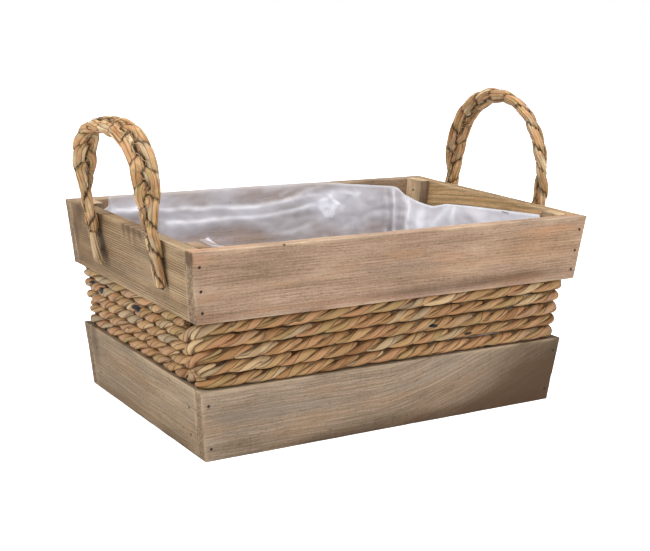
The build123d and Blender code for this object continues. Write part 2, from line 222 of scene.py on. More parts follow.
def wood(name, dark, brown, middle, light):
    """Sawn softwood under a thin brown-grey wash: growth rings, fibres, saw lines, worn edges and end grain.

    It looks dry and matt, with fine dark and light streaks along the board and paler, rubbed edges."""
    material, node = new_material(name)
    grain, tone = (node("Attribute", out="Vector", attribute_name=key) for key in ("grain", "tone"))
    figured, sawn, ends, wear, stain, warmth = (
        node("Attribute", out="Fac", attribute_name=key)
        for key in ("figure", "sawn", "ends", "wear", "stain", "warmth"))
    spread = node("VectorMath", (grain, per_mm(200, 45, 45)), **TIMES)
    drift = node("TexNoise", {"Vector": spread, "Scale": 1.0}, out="Color")
    drift = node("VectorMath", (drift, (0.5, 0.5, 0.5)), **MINUS)
    drift = node("VectorMath", (drift, (0, 9 * MM, 9 * MM)), **TIMES)
    path = node("VectorMath", (grain, drift), **PLUS)

    pattern = {}
    for key, way, sizes, detail, roughness in (
            # the direction, a feature's size in millimetres along and across it, and how fine it is
            ("streaks", path, (143, 7.7, 7.7), 4.0, 0.6), ("fibres", path, (29.4, 0.91, 0.91), 3.0, 0.7),
            ("blotches", grain, (71, 29, 29), 3.0, 0.55), ("pores", path, (6.7, 0.67, 0.67), 1.0, 0.5),
            ("across", grain, (1.6, 71, 71), 2.0, 0.5), ("mottle", grain, (2.4, 1.6, 1.6), 2.0, 0.5),
            ("warm", path, (111, 16.7, 16.7), 2.0, 0.5), ("grey", path, (167, 22.7, 22.7), 2.0, 0.5),
            ("patchy", grain, (91, 11, 11), 3.0, 0.5), ("end rings", grain, (16.7, 2.4, 2.4), 3.0, 0.5),
            ("runs", grain, (3, 38, 38), 3.0, 0.6)):
        spread = node("VectorMath", (way, per_mm(*sizes)), **TIMES)
        pattern[key] = node("TexNoise", {
            "Vector": spread, "Scale": 1.0, "Detail": detail, "Roughness": roughness})
    round_heart = {"wave_type": "RINGS", "rings_direction": "X"}
    for key, way, stretch, spacing, distortion, detail, fineness, settings in (
            # growth rings and saw lines: how far apart they lie in millimetres, and how much they wander
            ("rings", path, 0.16, 2.6, 3.0, 2.0, 1.2, {"wave_profile": "SAW", **round_heart}),
            ("waves", path, 0.6, 4.25, 4.5, 2.0, 0.7, round_heart),
            ("saw lines", grain, 0.03, 2.17, 2.4, 1.0, 0.5, {"bands_direction": "Y"})):
        spread = node("VectorMath", (way, (stretch, 1, 1)), **TIMES)
        pattern[key] = node("TexWave", {
            "Vector": spread, "Scale": math.tau / 20 / (spacing * MM), "Distortion": distortion,
            "Detail": detail, "Detail Scale": fineness}, out="Fac", **settings)

    depth = 0.0
    for key, share in (("streaks", 0.34), ("fibres", 0.24), ("rings", 0.07), ("blotches", 0.22),
                       ("mottle", 0.16), ("across", 0.05)):
        depth = node("Math", (pattern[key], share, depth), **TIMES_PLUS)
    colour = node("ValToRGB", (depth,), stops=((0.36, dark), (0.47, brown), (0.56, middle), (0.68, light)))
    patchy = node("MapRange", {"Value": pattern["patchy"], "From Min": 0.36, "From Max": 0.6}, **SMOOTH)
    sawn_here = node("Math", (patchy, sawn), **TIMES)
    for key, low, high, where, strength, code in (
            # where each pattern starts and is full, which parts of a board have it, its strength and its colour
            ("waves", 0.45, 0.85, figured, 0.62, "756a4c"), ("warm", 0.5, 0.72, warmth, 0.5, "b98459"),
            ("grey", 0.56, 0.7, 1.0, 0.3, "84776c"), ("pores", 0.63, 0.72, 1.0, 0.55, "4b3828"),
            ("saw lines", 0.5, 0.95, sawn_here, 0.8, "574330")):
        shown = node("MapRange", {"Value": pattern[key], "From Min": low, "From Max": high, "To Max": strength},
                     **SMOOTH)
        share = node("Math", (shown, where), **TIMES)
        colour = node("Mix", {0: share, 6: colour, 7: linear(code)}, **RGBA)
    saw_lines = share
    colour = node("Mix", {0: 1.0, 6: colour, 7: tone}, blend_type="MULTIPLY", **RGBA)

    end_rings = node("MapRange", {"Value": pattern["end rings"], "From Min": 0.38, "From Max": 0.62}, **SMOOTH)
    end_colour = node("Mix", {0: end_rings, 6: linear("5a4937"), 7: linear("8b7458")}, **RGBA)
    colour = node("Mix", {0: node("Math", (ends, 0.85), **TIMES), 6: colour, 7: end_colour}, **RGBA)
    rubbed = node("MapRange", {"Value": pattern["blotches"], "From Min": 0.38, "From Max": 0.6, "To Max": 0.6},
                  **SMOOTH)
    colour = node("Mix", {0: node("Math", (wear, rubbed), **TIMES), 6: colour, 7: linear("cbb291")}, **RGBA)
    drawn = node("Mix", {0: sawn, 2: pattern["streaks"], 3: pattern["runs"]})
    drawn = node("Math", (stain, node("Math", (drawn, 2.0, -0.2), **TIMES_PLUS)), **TIMES)
    soiled = node("MapRange", {"Value": drawn, "From Min": 0.06, "From Max": 0.62, "To Max": 0.8}, **SMOOTH)
    colour = node("Mix", {0: soiled, 6: colour, 7: linear("523b26")}, **RGBA)

    height = node("Math", (end_rings, node("Math", (ends, 0.5), **TIMES)), **TIMES)
    for part, share in ((pattern["fibres"], 0.45), (pattern["mottle"], 0.35), (saw_lines, -0.62),
                        (pattern["across"], 0.2)):
        height = node("Math", (part, share, height), **TIMES_PLUS)
    rough = node("MapRange", {"Value": pattern["fibres"], "To Min": 0.66, "To Max": 0.86})
    normal = node("Bump", {"Height": height, "Strength": 0.6, "Distance": 0.5 * MM})
    surface = node("BsdfPrincipled", {"Base Color": colour, "Roughness": rough, "Specular IOR Level": 0.3,
                                      "Normal": normal})
    node("OutputMaterial", {"Surface": surface})
    return material


def seagrass(name, leaves, variety, gap_shade_depth, shade):
    """Dried seagrass: leaves side by side round each strand, each a straw, olive, pink or grey tone of its own.

    It has a dull, waxy sheen on the open leaves and none in the gaps between strands, which carry painted shade,
    as do the gaps between leaves."""
    material, node = new_material(name)
    fibre = node("Attribute", out="Vector", attribute_name="fibre")
    # deep is painted shade where strands meet and at cut ends, and the brown of brown fibres.
    length, loose, pale, spoilt, deep = (
        node("Attribute", out="Fac", attribute_name=key)
        for key in ("length", "loose", "pale", "spoilt", "deep"))
    side, other = (node("SeparateXYZ", (fibre,), out=axis) for axis in "YZ")
    turn = node("Math", (node("Math", (other, side), operation="ARCTAN2"), math.tau), **OVER)
    pattern = {}
    for key, sizes, roughness in (("wander", (38, 16.7, 16.7), 0.5), ("veins", (22, 0.43, 0.43), 0.6),
                                  ("patches", (16.7, 6.2, 6.2), 0.5)):
        spread = node("VectorMath", (fibre, per_mm(*sizes)), **TIMES)
        pattern[key] = node("TexNoise", {"Vector": spread, "Scale": 1.0, "Roughness": roughness})
    lanes = node("Math", (turn, leaves, node("Math", (pattern["wander"], 2.6), **TIMES)), **TIMES_PLUS)
    lane = node("Math", (lanes,), operation="FRACT")
    number = node("Math", (node("Math", (lanes,), operation="FLOOR"), leaves, 0.0), operation="WRAP")
    which = node("CombineXYZ", (node("Math", (number, variety), **TIMES), length))
    own = node("TexNoise", {"Vector": which, "Scale": 1.0, "Detail": 0.0})
    colour = node("ValToRGB", (own,), stops=(
        (0.24, "93693f"), (0.32, "b18a58"), (0.40, "bb9068"), (0.46, "a8925f"), (0.51, "cba87b"),
        (0.57, "b98b64"), (0.63, "ada086"), (0.72, "d9c39c")))
    held = node("Math", (1.0, loose), **MINUS)
    # Painted shade in the gaps between leaves, none on loose leaves.
    gap_shade = node("MapRange", {"Value": lane, "From Max": 0.24, "To Min": gap_shade_depth, "To Max": 0.0}, **SMOOTH)
    gap_shade = node("Math", (gap_shade, held), **TIMES)
    for value, low, high, strength, code in (
            # light and dark veins, brown patches, painted shade in the gaps between leaves, pale ends, soot, and
            # painted shade in the gaps of the twist, which on brown fibres is their own brown
            (pattern["veins"], 0.45, 0.66, 0.3, "dcc39c"), (pattern["veins"], 0.48, 0.28, 0.5, "6a4a2c"),
            (pattern["patches"], 0.56, 0.72, 0.35, "6f5136"), (gap_shade, 0.0, 1.0, None, "3f2917"),
            (pale, 0.0, 1.0, 0.7, "e6d3b0"), (spoilt, 0.3, 0.7, 1.0, "17161a"),
            (deep, 0.0, 1.0, 0.95, "26160b")):
        shown = {"Value": value, "From Min": low, "From Max": high, "To Max": strength}
        rise = {} if (low, high) == (0.0, 1.0) else SMOOTH
        share = value if strength is None else node("MapRange", shown, **rise)
        colour = node("Mix", {0: share, 6: colour, 7: linear(code)}, **RGBA)
    colour = node("Mix", {0: 1.0, 6: colour, 7: linear(shade)}, blend_type="MULTIPLY", **RGBA)
    raised = node("MapRange", {"Value": lane, "From Max": 0.3, "To Max": 0.9}, **SMOOTH)
    height = node("Math", (lane, -0.5, raised), **TIMES_PLUS)
    height = node("Math", (pattern["veins"], 0.35, height), **TIMES_PLUS)
    surface = node("BsdfPrincipled", {
        "Base Color": colour, "Specular IOR Level": 0.3,
        "Roughness": node("Math", (deep, 0.45, 0.55), **TIMES_PLUS),
        "Normal": node("Bump", {"Height": height, "Strength": 0.8, "Distance": 0.6 * MM})})
    node("OutputMaterial", {"Surface": surface})
    return material


def film(name):
    """Blown polyethylene film: clear where it lies flat, milky and glossy where it is creased; its whiter
    creases, ridges and facets are partly painted highlights.
    """
    material, node = new_material(name)
    place = node("TexCoord", out="Object")
    # fold is how white the film is: milky film and painted highlights together.
    fold, haze = (node("Attribute", out="Fac", attribute_name=key) for key in ("fold", "haze"))
    pattern = {}
    for key, sizes, roughness in (("cloud", (83, 83, 38), 0.55), ("crinkle", (11, 11, 6.7), 0.6)):
        spread = node("VectorMath", (place, per_mm(*sizes)), **TIMES)
        pattern[key] = node("TexNoise", {"Vector": spread, "Scale": 1.0, "Detail": 3.0, "Roughness": roughness})
    clouded = node("Math", (pattern["cloud"], 0.5, -0.25), **TIMES_PLUS)
    milk = node("Math", (fold, 0.45, clouded), **TIMES_PLUS)
    surface = node("BsdfPrincipled", {
        "Base Color": node("Mix", {0: fold, 6: linear("dedde4"), 7: linear("f6f7fc")}, **RGBA),
        "Alpha": node("Math", (milk, haze), use_clamp=True, **PLUS),
        "Roughness": 0.26, "IOR": 1.5, "Specular IOR Level": 0.6,
        "Normal": node("Bump", {"Height": pattern["crinkle"], "Strength": 0.3, "Distance": MM})})
    node("OutputMaterial", {"Surface": surface})
    return material


def steel(name, clean, rusty):
    """Drawn steel wire, half dull, with a little rust."""
    material, node = new_material(name)
    spread = node("VectorMath", (node("TexCoord", out="Object"), per_mm(1.1, 1.1, 1.1)), **TIMES)
    rust = node("TexNoise", {"Vector": spread, "Scale": 1.0})
    colour = node("ValToRGB", (rust,), stops=((0.40, clean), (0.60, rusty)))
    surface = node("BsdfPrincipled", {"Base Color": colour, "Metallic": 0.5, "Roughness": 0.55})
    node("OutputMaterial", {"Surface": surface})
    return material


BOARD_WOOD = wood("Wood, washed softwood boards", "654f3e", "8f745b", "a98a70", "c0a589")
BATTEN_WOOD = wood("Wood, rough softwood battens", "7c6549", "ac8e6c", "c6a983", "dcc5a2")
# A darker copy of the batten wood: painted shade for the batten faces that face along y.
BATTEN_SHADED_EDGE = wood("Wood, rough softwood battens, edge with painted shade", "2f221c", "4c3930", "5d483e", "78604f")
ROPE = seagrass("Seagrass, twisted rope", 3, 0.3, 0.85, "e3d6c6")
PLAIT = seagrass("Seagrass, plaited handle", 10, 7.3, 0.75, "fbf2e6")
FILM = film("Polyethylene liner film")
STEEL = steel("Steel wire, dark", "1c1917", "3a2b22")
STAPLE_STEEL = steel("Steel wire, zinc-plated", "a8a6a3", "7d756c")
WASHED_STEEL = steel("Steel wire, under the wash of the boards", "8d765d", "6d5844")


# Boards

class Timber:
    """A splayed board: its sides at each height, which way its grain runs, and its looks."""

    def __init__(self, low, high, x_sides, y_sides, grain_axis, seed, tone=(1, 1, 1), sawn=0.15, figure=0.0,
                 stains=(), shades=(), rim=(1, 1, 1), heart=None, warmth=0.3):
        self.low, self.high, self.x_sides, self.y_sides = low, high, x_sides, y_sides
        self.grain_axis, self.seed, self.tone, self.stains = grain_axis, seed, tone, stains
        self.sawn, self.figure, self.shades, self.rim, self.heart = sawn, figure, shades, rim, heart
        self.warmth = warmth

    def gaps(self, points):
        """How far each point is from the nearer side, end and face of the board, on the three axes."""
        x, y, z = points.T
        (x0, x1), (y0, y1) = self.x_sides(z), self.y_sides(z)
        pairs = ((x - x0, x1 - x), (y - y0, y1 - y), (z - self.low, self.high - z))
        return np.stack([np.minimum(np.abs(a), np.abs(b)) for a, b in pairs], 1)

    def values(self, points):
        """What the wood material reads at each point."""
        gaps = self.gaps(points)
        rng = np.random.default_rng(self.seed)
        across = 2 if self.grain_axis != 2 else 1
        order = [self.grain_axis, across, 3 - self.grain_axis - across]
        shift = rng.uniform((-900, 40, -70), (900, 110, 70))
        along, up = points[:, order[0]], points[:, order[1]]

        def near(at, height, reach, tall):
            """1 at a place on the board, fading out over its reach along and up."""
            return np.exp(-((along - at) / reach) ** 2 - ((up - height) / tall) ** 2)

        stain = np.zeros(len(points))
        for *spot, strength in self.stains:
            stain += strength * near(*spot)
        tone = np.tile(np.array(self.tone, float), (len(points), 1))
        for *spot, tint in self.shades:
            tone *= 1 + near(*spot)[:, None] * (np.array(tint) - 1)
        tone[points[:, 2] > self.high - 0.7] *= self.rim
        grain = points[:, order] + shift
        if self.heart:
            middle, slope, start, behind = self.heart
            grain[:, 1] = up - middle - slope * np.clip(along - start, 0, None) ** 1.4
            grain[:, 2] = gaps[:, order[2]] + behind
        return {
            "grain": grain * MM,
            "wear": np.exp(-np.sort(gaps, 1)[:, 1] / 1.4),
            "ends": ((gaps.argmin(1) == self.grain_axis) & (gaps[:, self.grain_axis] < 1.2)).astype(float),
            "stain": stain,
            "sawn": np.full(len(points), self.sawn),
            "figure": np.full(len(points), self.figure),
            "warmth": np.full(len(points), self.warmth),
            "tone": tone,
        }


def cuts(length, pitch):
    """Places to cut across a length, from 0 to 1: close together at both ends, where the edges are rounded."""
    ends = np.array([0.0, 0.3, 0.8, 1.6])
    middle = np.linspace(2 * ends[-1], length - 2 * ends[-1], max(2, round(length / pitch)))
    return np.concatenate([ends, middle, length - ends[::-1]]) / length


def block_surface(*axes):
    """Points and outward quads of the outside of a block that is cut at the given places on its three axes."""
    index, points, quads = {}, [], []
    for axis in range(3):
        a, b = (axis + 1) % 3, (axis + 2) % 3
        for fixed in (0, len(axes[axis]) - 1):
            for i in range(len(axes[a]) - 1):
                for j in range(len(axes[b]) - 1):
                    quad = []
                    for di, dj in ((0, 0), (1, 0), (1, 1), (0, 1)):
                        key = [0, 0, 0]
                        key[axis], key[a], key[b] = fixed, i + di, j + dj
                        key = tuple(key)
                        if key not in index:
                            index[key] = len(points)
                            points.append([axes[n][key[n]] for n in range(3)])
                        quad.append(index[key])
                    quads.append(quad if fixed else quad[::-1])
    return np.array(points), quads


def board(name, timber, holes, cracks=()):
    """A board with rounded, slightly chipped edges, a rough sawn face and a hole round each brad."""
    middle = np.array([(timber.low + timber.high) / 2])
    sides = [np.ptp(np.concatenate(f(middle))) for f in (timber.x_sides, timber.y_sides)]
    sides.append(timber.high - timber.low)
    shares, quads = block_surface(*(cuts(length, 4.0) for length in sides))
    z = timber.low + (timber.high - timber.low) * shares[:, 2]
    (x0, x1), (y0, y1) = timber.x_sides(z), timber.y_sides(z)
    points = np.stack([x0 + (x1 - x0) * shares[:, 0], y0 + (y1 - y0) * shares[:, 1], z], 1)

    stretched = np.full(3, 9.0)
    stretched[timber.grain_axis] = 60.0
    radius = 0.75 + 0.35 * ripple(points, 14, timber.seed) + 0.9 * np.clip(
        ripple(points, 9, timber.seed + 1) - 0.55, 0, 1)
    inward = np.where(shares < 0.5, 1.0, -1.0)
    reach = np.clip(radius[:, None] - timber.gaps(points), 0, None)
    size = np.maximum(np.linalg.norm(reach, axis=1, keepdims=True), 1e-6)
    points = points + inward * reach * (1 - radius[:, None] / size)
    rough = 0.13 * (1 + ripple(points, stretched, timber.seed + 2))
    points = points + inward * reach / size * rough[:, None]

    bundle = Bundle()
    bundle.add(points, quads)
    obj = bundle.make(name, BOARD_WOOD, [name])
    obj.name = name + "_wood"
    if holes or cracks:
        drill(obj, holes, cracks)
    set_values(obj.data, timber.values(points_of(obj.data) / MM))
    obj.data.set_sharp_from_angle(angle=math.radians(50))
    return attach(obj, ROOT)


HOLE_RADIUS, HOLE_DEPTH, HOLE_OVERRUN, HOLE_SIDES = 1.38, 1.6, 1.5, 14
CRACK_HALF_WIDTH, CRACK_DEPTH, CRACK_OVERRUN = 0.28, 1.4, 1.0


def drill(obj, holes, cracks):
    """Cuts a shallow round hole at each point, along its direction into the wood, and each thin crack."""
    cutter = Bundle()
    turns = np.arange(HOLE_SIDES) / HOLE_SIDES * math.tau
    caps = [list(range(HOLE_SIDES))[::-1], list(range(HOLE_SIDES, 2 * HOLE_SIDES))]
    for point, way in holes:
        way = unit(np.array(way, float))
        side = unit(np.cross(way, (0.3, 0.5, 0.9)))
        other = np.cross(way, side)
        ring = HOLE_RADIUS * (np.cos(turns)[:, None] * side + np.sin(turns)[:, None] * other)
        points = np.concatenate([point - HOLE_OVERRUN * way + ring, point + HOLE_DEPTH * way + ring])
        cutter.add(points, strips(2, HOLE_SIDES) + caps)
    for start, end, way in cracks:
        start, end, way = (np.array(part, float) for part in (start, end, way))
        thick = CRACK_HALF_WIDTH * unit(np.cross(end - start, way))
        line = [start - thick, end - 0.5 * thick, end + 0.5 * thick, start + thick]
        points = np.array([p - CRACK_OVERRUN * way for p in line] + [p + CRACK_DEPTH * way for p in line])
        sides = [[i, i + 4, (i + 1) % 4 + 4, (i + 1) % 4] for i in range(4)]
        cutter.add(points, [[0, 1, 2, 3], [7, 6, 5, 4]] + sides)
    tool = cutter.make(obj.name + "_holes", STEEL)
    cut = obj.modifiers.new("holes", "BOOLEAN")
    cut.operation, cut.object, cut.solver = "DIFFERENCE", tool, "EXACT"
    solid = baked(obj)
    obj.modifiers.clear()
    obj.data = solid
    bpy.data.objects.remove(tool)


TOP_BRAD_SHARES = (0.21, 0.54, 0.84)
BOTTOM_BRAD_SHARES = (0.2, 0.82)
BATTEN_BRAD_SHARES = (0.32, 0.72)
KNOT_HOLE = ((-119.0, 0.5 - half_width(175.6), 175.6), (0, 0.7, -0.7))
FRONT_CRACK = ((-201, -half_width(164.2), 164.2), (-194.3, -half_width(163.6), 163.6), (0, 1, 0))


def board_holes(level, side):
    """Where brads enter a board's outer face, and which way they go."""
    sign = -1 if side in ("front", "left") else 1
    top = level == "top"
    holes = []
    if side in ("front", "back"):
        rows = [BOTTOM_BOARD_HEAD * (1 - share) for share in BOTTOM_BRAD_SHARES]
        if top:
            rows = [HEIGHT - share * (HEIGHT - TOP_BOARD_FOOT) for share in TOP_BRAD_SHARES]
        if top and side == "front":
            holes.append(KNOT_HOLE)
        for z in rows:
            along = half_length(z) - BOARD / 2
            holes += [((x * along, sign * half_width(z), z), (0, -sign, 0)) for x in (-1, 1)]
    elif not top:
        for share in BATTEN_BRAD_SHARES:
            z = BOTTOM_BOARD_HEAD * (1 - share)
            along = half_width(z) - BOARD - BATTEN_WIDE / 2
            holes += [((sign * half_length(z), y * along, z), (-sign, 0, 0)) for y in (-1, 1)]
    return holes


def both(half, inset):
    return lambda z: (inset - half(z), half(z) - inset)


def wall(half, sign):
    return lambda z: (sign * half(z) - (BOARD if sign > 0 else 0), sign * half(z) + (BOARD if sign < 0 else 0))


# What sets each board apart. A shade is its middle along the board and up, its reach along and up, and a tint;
# a stain is the same with a strength. A heart is where the middle of the growth rings runs.
BOARD_LOOKS = {
    "top_front": dict(
        tone=(0.92, 0.94, 0.97), warmth=1.0,
        shades=((0, 119, 260, 6, (0.88, 0.87, 0.93)), (150, 152, 55, 14, (1.06, 1.0, 0.9)),
                (40, 140, 60, 6, (1.05, 0.98, 0.88)), (-120, 150, 60, 24, (0.97, 0.98, 0.96))),
        stains=((40, 124, 120, 5, 0.5), (-186, 120, 30, 8, 0.3), (120, 127, 60, 4, 0.5),
                (-200, 168, 1.5, 7, 1.2))),
    "top_back": dict(
        tone=(0.92, 0.93, 0.92), rim=(0.74, 0.76, 0.78), figure=0.3, warmth=0.8,
        # The darker left end face is end grain with painted shade over it.
        shades=((-200, 146, 7, 80, (0.55, 0.58, 0.56)),)),
    "top_left": dict(
        tone=(0.8, 0.83, 0.7), rim=(0.92, 0.93, 0.95), sawn=1.0,
        shades=((105, 146, 56, 60, (0.62, 0.56, 0.47)), (20, 172, 60, 10, (0.88, 0.84, 0.76)),
                (-100, 150, 20, 60, (1.05, 1.05, 1.05))),
        stains=((-2, 171, 3, 8, 0.7), (-12, 169, 4, 11, 0.65), (-24, 169, 3, 11, 0.7), (-37, 172, 4, 7, 0.6),
                (-15, 174, 30, 4, 0.45), (44, 173, 7, 8, 0.6), (100, 165, 6, 14, 0.8), (112, 150, 5, 22, 0.8),
                (90, 174, 10, 6, 0.6), (-62, 158, 4, 22, 0.4))),
    "top_right": dict(
        tone=(1.18, 1.12, 0.84), rim=(0.74, 0.76, 0.8), figure=1.0, warmth=0.8, heart=(169, -0.0122, -140, 9)),
    "bottom_front": dict(
        tone=(0.795, 0.895, 0.975), figure=0.5, warmth=0.45, heart=(-34, 0.04, -15, 16),
        shades=((198, 30, 88, 100, (0.26, 0.21, 0.13)), (150, 6, 90, 20, (0.76, 0.71, 0.66)),
                (20, 4, 160, 8, (0.85, 0.82, 0.78)), (0, 0, 900, 1.5, (0.5, 0.5, 0.5))),
        stains=((60, 3, 110, 9, 0.7), (150, 6, 50, 14, 0.8), (-80, 2, 60, 5, 0.4), (165, 34, 26, 5, 0.6),
                (158, 26, 60, 30, 0.55))),
    "bottom_back": dict(
        # The darker left end face is end grain with painted shade over it.
        tone=(0.85, 0.9, 0.95), figure=0.5, shades=((-184, 30, 9, 90, (0.5, 0.52, 0.52)),)),
    "bottom_left": dict(
        tone=(0.76, 0.84, 0.83), figure=0.25,
        shades=((-70, 20, 60, 30, (1.03, 1.02, 1.0)), (60, 2, 100, 6, (0.85, 0.83, 0.8)),
                (118, 40, 14, 60, (0.75, 0.76, 0.76)), (0, 0, 900, 1.3, (0.6, 0.6, 0.6))),
        stains=((100, 50, 10, 30, 0.6), (-60, 4, 50, 6, 0.4))),
    "bottom_right": dict(tone=(0.84, 0.86, 0.84))}


def make_boards():
    levels = ("top", TOP_BOARD_FOOT, HEIGHT), ("bottom", 0.0, BOTTOM_BOARD_HEAD)
    for number, (level, low, high) in enumerate(levels):
        for place, side in enumerate(("front", "back", "left", "right")):
            key = f"{level}_{side}"
            sign = -1 if side in ("front", "left") else 1
            if side in ("front", "back"):
                grain_axis, sides = 0, (both(half_length, 0.0), wall(half_width, sign))
            else:
                grain_axis, sides = 1, (wall(half_length, sign), both(half_width, BOARD))
            timber = Timber(low, high, *sides, grain_axis, 20 * number + 5 * place + 3, **BOARD_LOOKS[key])
            cracks = [FRONT_CRACK] if key == "top_front" else []
            board(f"{level}_board_{side}", timber, board_holes(level, side), cracks)


def make_battens_and_slats():
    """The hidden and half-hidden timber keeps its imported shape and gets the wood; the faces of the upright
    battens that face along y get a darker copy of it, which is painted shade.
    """
    for name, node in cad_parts.items():
        if name.startswith(("corner_batten", "base_slat")):
            low, high = (np.array(corner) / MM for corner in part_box(name))
            upright = name.startswith("corner")
            timber = Timber(low[2], high[2], lambda z: (low[0] + 0 * z, high[0] + 0 * z),
                            lambda z: (low[1] + 0 * z, high[1] + 0 * z), grain_axis=2 if upright else 0,
                            seed=sum(map(ord, name)), sawn=0.4,
                            tone=(0.5, 0.46, 0.44) if name == "corner_batten_front_left" else (1, 1, 1))
            values = timber.values(points_of(node.data) / MM)
            values["wear"][:] = 0.3
            set_values(node.data, values)
            node.data.materials.clear()
            node.data.materials.append(BATTEN_WOOD)
            node.data.materials.append(BATTEN_SHADED_EDGE)
            # The faces of the upright battens that face along y take the copy with painted shade.
            for face in node.data.polygons:
                face.material_index = int(upright and abs(face.normal.y) > 0.7)


# Seagrass

def spline(controls, spacing):
    """Evenly spaced points on the smooth curve that follows the control points."""
    curve = bpy.data.curves.new("route", "CURVE")
    curve.dimensions, curve.resolution_u = "3D", 10
    line = curve.splines.new("NURBS")
    line.points.add(len(controls) - 1)
    for point, place in zip(line.points, controls):
        point.co = (*place, 1)
    line.order_u, line.use_endpoint_u = 3, True
    obj = add_object("route", curve)
    points = points_of(baked(obj))
    bpy.data.objects.remove(obj)
    run = distances(points)
    even = np.linspace(0, run[-1], round(run[-1] / spacing) + 1)
    return np.stack([np.interp(even, run, points[:, n]) for n in range(3)], 1), even


def ply(bundle, path, side, half_side, half_other, seed, around=18, lobes=4, groove=0.13, twist=40.0,
        deep=None, spoilt=None, pale=0.0, loose=0.0, lengths=None, cut=0.0):
    """A bundle of leaves swept along a path; side is its broad direction, and grooves part its lobes. deep gives
    the painted shade at each point, and on brown fibres their own brown; cut is painted shade on both ends.
    """
    tangent = unit(np.gradient(path, axis=0))
    side = unit(side - (side * tangent).sum(1, keepdims=True) * tangent)
    other = np.cross(tangent, side)
    run = distances(path)
    turn = np.arange(around) / around * math.tau
    turns, runs = np.meshgrid(turn, run)
    place = np.stack([runs.ravel() + 977 * seed, 9 * np.cos(turns).ravel(), 9 * np.sin(turns).ravel()], 1)
    wander = 0.5 * ripple(place, (60, 9, 9), 5).reshape(turns.shape)
    valley = (1 - np.abs(np.sin(lobes / 2 * (turns + runs / twist) + seed + wander))) ** 2
    shape = 1 - groove * valley + 0.35 * groove * ripple(place, (16, 7, 7), 6).reshape(turns.shape)
    cos, sin = np.cos(turns) * shape, np.sin(turns) * shape
    points = path[:, None] + (side * half_side[:, None])[:, None] * cos[..., None] + (
        other * half_other[:, None])[:, None] * sin[..., None]
    n = len(path)
    faces = strips(n, around) + [list(range(around))[::-1], list(range((n - 1) * around, n * around))]
    rolled = turns + runs / (2 * twist)
    girth = float(np.mean(half_side + half_other)) / 2
    fibre = np.stack([runs + 977 * seed, girth * np.cos(rolled), girth * np.sin(rolled)], -1)
    points = points.reshape(-1, 3)
    lengths = 0.036 * run + 9.1 * seed if lengths is None else lengths
    shade = np.zeros(len(points)) if deep is None else deep(points, path, around)
    # Painted shade on the two cut ends.
    shade[:around] = np.maximum(shade[:around], cut)
    shade[-around:] = np.maximum(shade[-around:], cut)
    bundle.add(points, faces, fibre=fibre.reshape(-1, 3) * MM, length=np.repeat(lengths, around),
               deep=shade, spoilt=np.zeros(len(points)) if spoilt is None else spoilt(points),
               pale=np.full(len(points), pale), loose=np.full(len(points), loose))


def strand_crevice_shade(centre, side, other, strands, own, limit=1.5):
    """A function that gives painted shade on each point of one strand, deeper the nearer it is to its
    neighbours, in each cross-section.
    """

    def near(points, path, around):
        ring = points.reshape(len(path), around, 3) - centre[:, None]
        a, b = (ring * side[:, None]).sum(2), (ring * other[:, None]).sum(2)
        dark = np.zeros(a.shape)
        for number, (da, db, half_a, half_b) in enumerate(strands):
            if number != own:
                reach = np.hypot((a - da[:, None]) / half_a[:, None], (b - db[:, None]) / half_b[:, None])
                dark = np.maximum(dark, smooth((limit - reach) / (limit - 1)))
        return dark.ravel()

    return near


def even_shade_and_brown(amount):
    """The same darkness for every point of a strand: painted shade on a fray's darker leaves, and the brown of
    brown stray fibres.
    """
    return lambda points, path, around: np.full(len(points), amount)


def tuft(bundle, root, way, count, length, spread, seed, width=0.7, pale=0.0):
    """Loose leaf ends that fan out from a root."""
    rng = np.random.default_rng(seed)
    way = unit(np.array(way, float))
    for number in range(count):
        lean = unit(way + spread * rng.normal(size=3))
        bend = spread * 0.6 * rng.normal(size=3)
        long = length * rng.uniform(0.55, 1.0)
        t = np.linspace(0, 1, 6)[:, None]
        start = np.array(root) + rng.normal(size=3) * (1.0, 1.0, 0.6)
        path = start + lean * long * t + bend * long * 0.4 * t * t
        taper = width * rng.uniform(0.6, 1.3) * (1 - 0.5 * t[:, 0] ** 2)
        ply(bundle, path, np.tile(np.cross(lean, (0.4, 0.2, 0.9)), (6, 1)), taper, 0.3 * taper, seed + number,
            around=6, groove=0.0, pale=pale, loose=1.0)


ROPE_RADIUS = 5.2
ROPE_PITCH = 11.375
ROPE_LAY = 47.0
ROPE_INSET = BOARD - ROPE_RADIUS - SEAT_GAP
ROPE_LEVELS = [TOP_BOARD_FOOT - SEAT_GAP - ROPE_RADIUS - i * ROPE_PITCH for i in range(5)]
SQUEEZED_ROUNDS = (1, 3)
ROPE_SPOTS = (
    # middle and reach of each dark spot
    ((-190, 96, 103), (4, 5, 3)), ((-189.5, 72, 101), (4, 7, 3)), ((-190, 26, 105), (4, 6, 1.6)),
    ((-189.5, -5, 102.5), (4, 10, 3)), ((-190, 132, 109), (8, 8, 5)), ((103, -120.5, 61), (6, 4, 2)),
    ((37, -122.7, 89), (5, 4, 1.6)), ((78, -121.7, 76.7), (6, 4, 1.4)))


